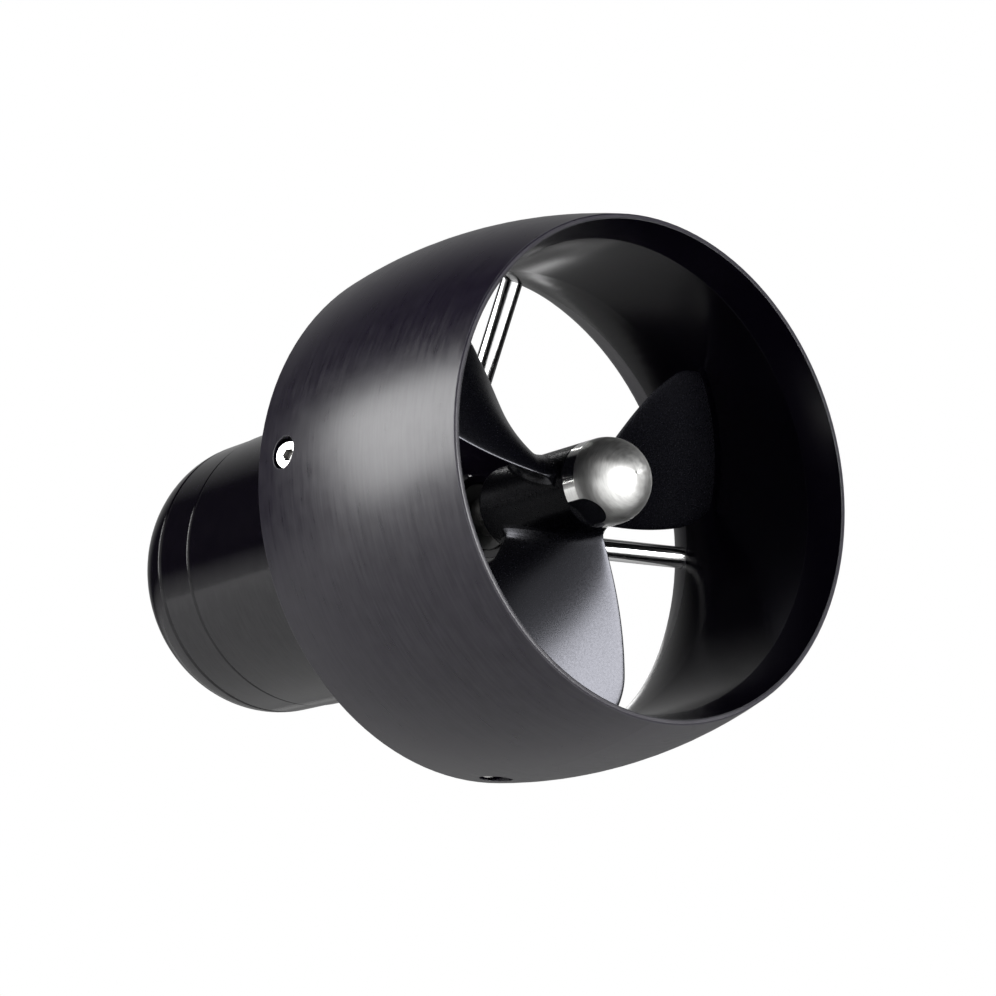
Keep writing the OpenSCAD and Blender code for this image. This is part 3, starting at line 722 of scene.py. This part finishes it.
finishes = {
    "nozzle": turnedAnodise("Black anodised aluminium, turned", nozzleLook),
    "motor": turnedAnodise("Black anodised aluminium, fine turned", motorLook),
    "blades": blastedAnodise("Black anodised aluminium, bead blasted", bladeLook),
    "nose": turnedSteel("Stainless steel, turned and brushed", noseLook),
    "rods": turnedSteel("Stainless steel, polished bar", rodLook),
    "screws": turnedSteel("Stainless steel, cold headed", screwLook),
    "rubber": plainStock("Nitrile rubber, moulded", rubberLook),
    "sheet": plainStock("Silicon steel, stamped sheet", sheetLook),
    "wire": plainStock("Copper wire, enamelled", wireLook),
    "magnet": plainStock("Neodymium magnet, nickel plated", magnetLook),
    "bearing": plainStock("Bearing steel, ground", bearingLook),
    "brass": plainStock("Brass, pressed", brassLook),
}
finishOf = {
    "nozzle": "nozzle", "nozzle_screws": "screws", "stay_rods": "rods", "front_cover": "motor",
    "front_o_ring": "rubber", "shaft_seal": "rubber", "motor_housing": "motor",
    "stator_core": "sheet", "stator_coils": "wire", "rear_cover": "motor", "rear_o_ring": "rubber",
    "preload_washer": "screws", "tail_dome": "motor", "tail_o_ring": "rubber",
    "tail_screws": "screws", "gland_body": "screws", "gland_seal": "rubber", "gland_nut": "screws",
    "front_outer_race": "bearing", "rear_outer_race": "bearing", "shaft": "screws",
    "rotor_core": "sheet", "rotor_magnets": "magnet", "front_inner_race": "bearing",
    "rear_inner_race": "bearing", "shaft_circlip": "bearing", "propeller": "blades",
    "drive_pin": "screws", "nose_nut": "nose", "front_balls": "bearing", "front_cage": "brass",
    "rear_balls": "bearing", "rear_cage": "brass",
}
for nodeName, finish in finishOf.items():
    target = nodes[nodeName]
    for place in target.material_slots:
        place.material = finishes[finish]
    if not target.material_slots:
        target.data.materials.append(finishes[finish])
print("finishes put on", len(finishOf), "CAD nodes")


# propeller: a smooth hub and blades in place of the CAD node's facets, on the same helix
propellerSettings = {
    "hubRadius": 11.2 * mm,
    "capShare": 0.45,
    "rearRound": 1.6 * mm,
    "roundSteps": 8,
    "frontBevel": 0.35 * mm,
    "bladeCount": 3,
    "bladePhase": 63.0,
    "pitch": 129 * mm,
    "middleBehindHubFront": 15.2 * mm,
    "tipRadius": 59.0 * mm,
    "rootSink": 3 * mm,
    "rootAngle": 64.0,
    "tipAngle": 42.0,
    "crown": 1.2,
    "rootThickness": 5.5 * mm,
    "tipThickness": 2.2 * mm,
    "edgeThickness": 0.9 * mm,
    "edgeRound": 14,
    "fillet": 2.5 * mm,
    "filletTurn": 3000.0,
    "tipRound": 0.14,
    "tipRoundFrom": 0.8,
    "spanSteps": 56,
    "chordSteps": 36,
    "hubSteps": 128,
    "sharpAngle": 40.0,
}


# one point of a blade: span and chord shares on a helix of constant pitch, thickened to one side
def bladePoint(p, middle, span, chord, side):
    r = p["hubRadius"] - p["rootSink"] + (p["tipRadius"] - p["hubRadius"] + p["rootSink"]) * span
    left = max(0.0, p["fillet"] - max(0.0, r - p["hubRadius"]))
    swell = p["fillet"] - math.sqrt(p["fillet"] ** 2 - left ** 2)  # a round fillet at the hub
    nearTip = max(0.0, span - p["tipRoundFrom"]) / (1 - p["tipRoundFrom"])
    corner = 1 - p["tipRound"] * nearTip ** 2
    half = (p["rootAngle"] + (p["tipAngle"] - p["rootAngle"]) * span) / 2
    half = (half + p["crown"] * math.sin(math.pi * span)) * corner
    thick = p["rootThickness"] + (p["tipThickness"] - p["rootThickness"]) * span
    edge = p["edgeThickness"] * math.sqrt(max(0.0, 1 - abs(chord) ** p["edgeRound"]))
    lens = (thick - p["edgeThickness"]) * (1 - chord * chord)
    offset = ((edge + lens) / 2 + swell) * side
    advance = p["pitch"] / (2 * math.pi)
    turn = math.radians(chord * (half + swell * p["filletTurn"]))
    slope = math.atan2(advance, r)
    angle = turn + offset * math.sin(slope) / r
    x = middle - turn * advance + offset * math.cos(slope)
    return Vector((x, r * math.sin(angle), r * math.cos(angle)))


# skins a row of rings, each with as many points, and closes both ends
def addRings(mesh, rings):
    made = [[mesh.verts.new(point) for point in ring] for ring in rings]
    count = len(made[0])
    for near, far in zip(made, made[1:]):
        for j in range(count):
            k = (j + 1) % count
            mesh.faces.new((near[j], near[k], far[k], far[j]))
    mesh.faces.new(list(reversed(made[0])))
    mesh.faces.new(made[-1])


def makePropeller(p):
    low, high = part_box("propeller")
    mesh = bmesh.new()
    # the hub's profile, from its rounded rear to its bevelled front
    profile = [(low.x, p["hubRadius"] * p["capShare"])]
    for k in range(p["roundSteps"] + 1):
        t = math.pi / 2 * k / p["roundSteps"]
        back, out = 1 - math.cos(t), 1 - math.sin(t)
        profile.append((low.x + p["rearRound"] * back, p["hubRadius"] - p["rearRound"] * out))
    profile += [
        (high.x - p["frontBevel"], p["hubRadius"]), (high.x, p["hubRadius"] - p["frontBevel"]),
        (high.x, p["hubRadius"] * p["capShare"]),
    ]
    turns = [2 * math.pi * j / p["hubSteps"] for j in range(p["hubSteps"])]
    addRings(mesh, [
        [Vector((x, r * math.sin(t), r * math.cos(t))) for t in turns] for x, r in profile
    ])
    # the blades, with rings closer together at the root and the tip
    middle = high.x - p["middleBehindHubFront"]
    ringSteps = 2 * p["chordSteps"]
    for i in range(p["bladeCount"]):
        bladeAngle = p["bladePhase"] + i * 360 / p["bladeCount"]
        turnBlade = Quaternion((1, 0, 0), -math.radians(bladeAngle))
        rings = []
        for k in range(p["spanSteps"] + 1):
            span = (1 - math.cos(math.pi * k / p["spanSteps"])) / 2
            ring = []
            for j in range(ringSteps):
                t = 2 * math.pi * j / ringSteps
                side = 1 if t < math.pi else -1
                ring.append(turnBlade @ bladePoint(p, middle, span, -math.cos(t), side))
            rings.append(ring)
        addRings(mesh, rings)
    bmesh.ops.recalc_face_normals(mesh, faces=mesh.faces)
    data = bpy.data.meshes.new("smoothPropeller")
    mesh.to_mesh(data)
    mesh.free()
    for polygon in data.polygons:
        polygon.use_smooth = True
    data.set_sharp_from_angle(angle=math.radians(p["sharpAngle"]))
    data.materials.append(finishes["blades"])
    piece = bpy.data.objects.new("smoothPropeller", data)
    bpy.context.scene.collection.objects.link(piece)
    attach(piece, "rotor")
    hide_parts("propeller")


makePropeller(propellerSettings)
print("propeller made")
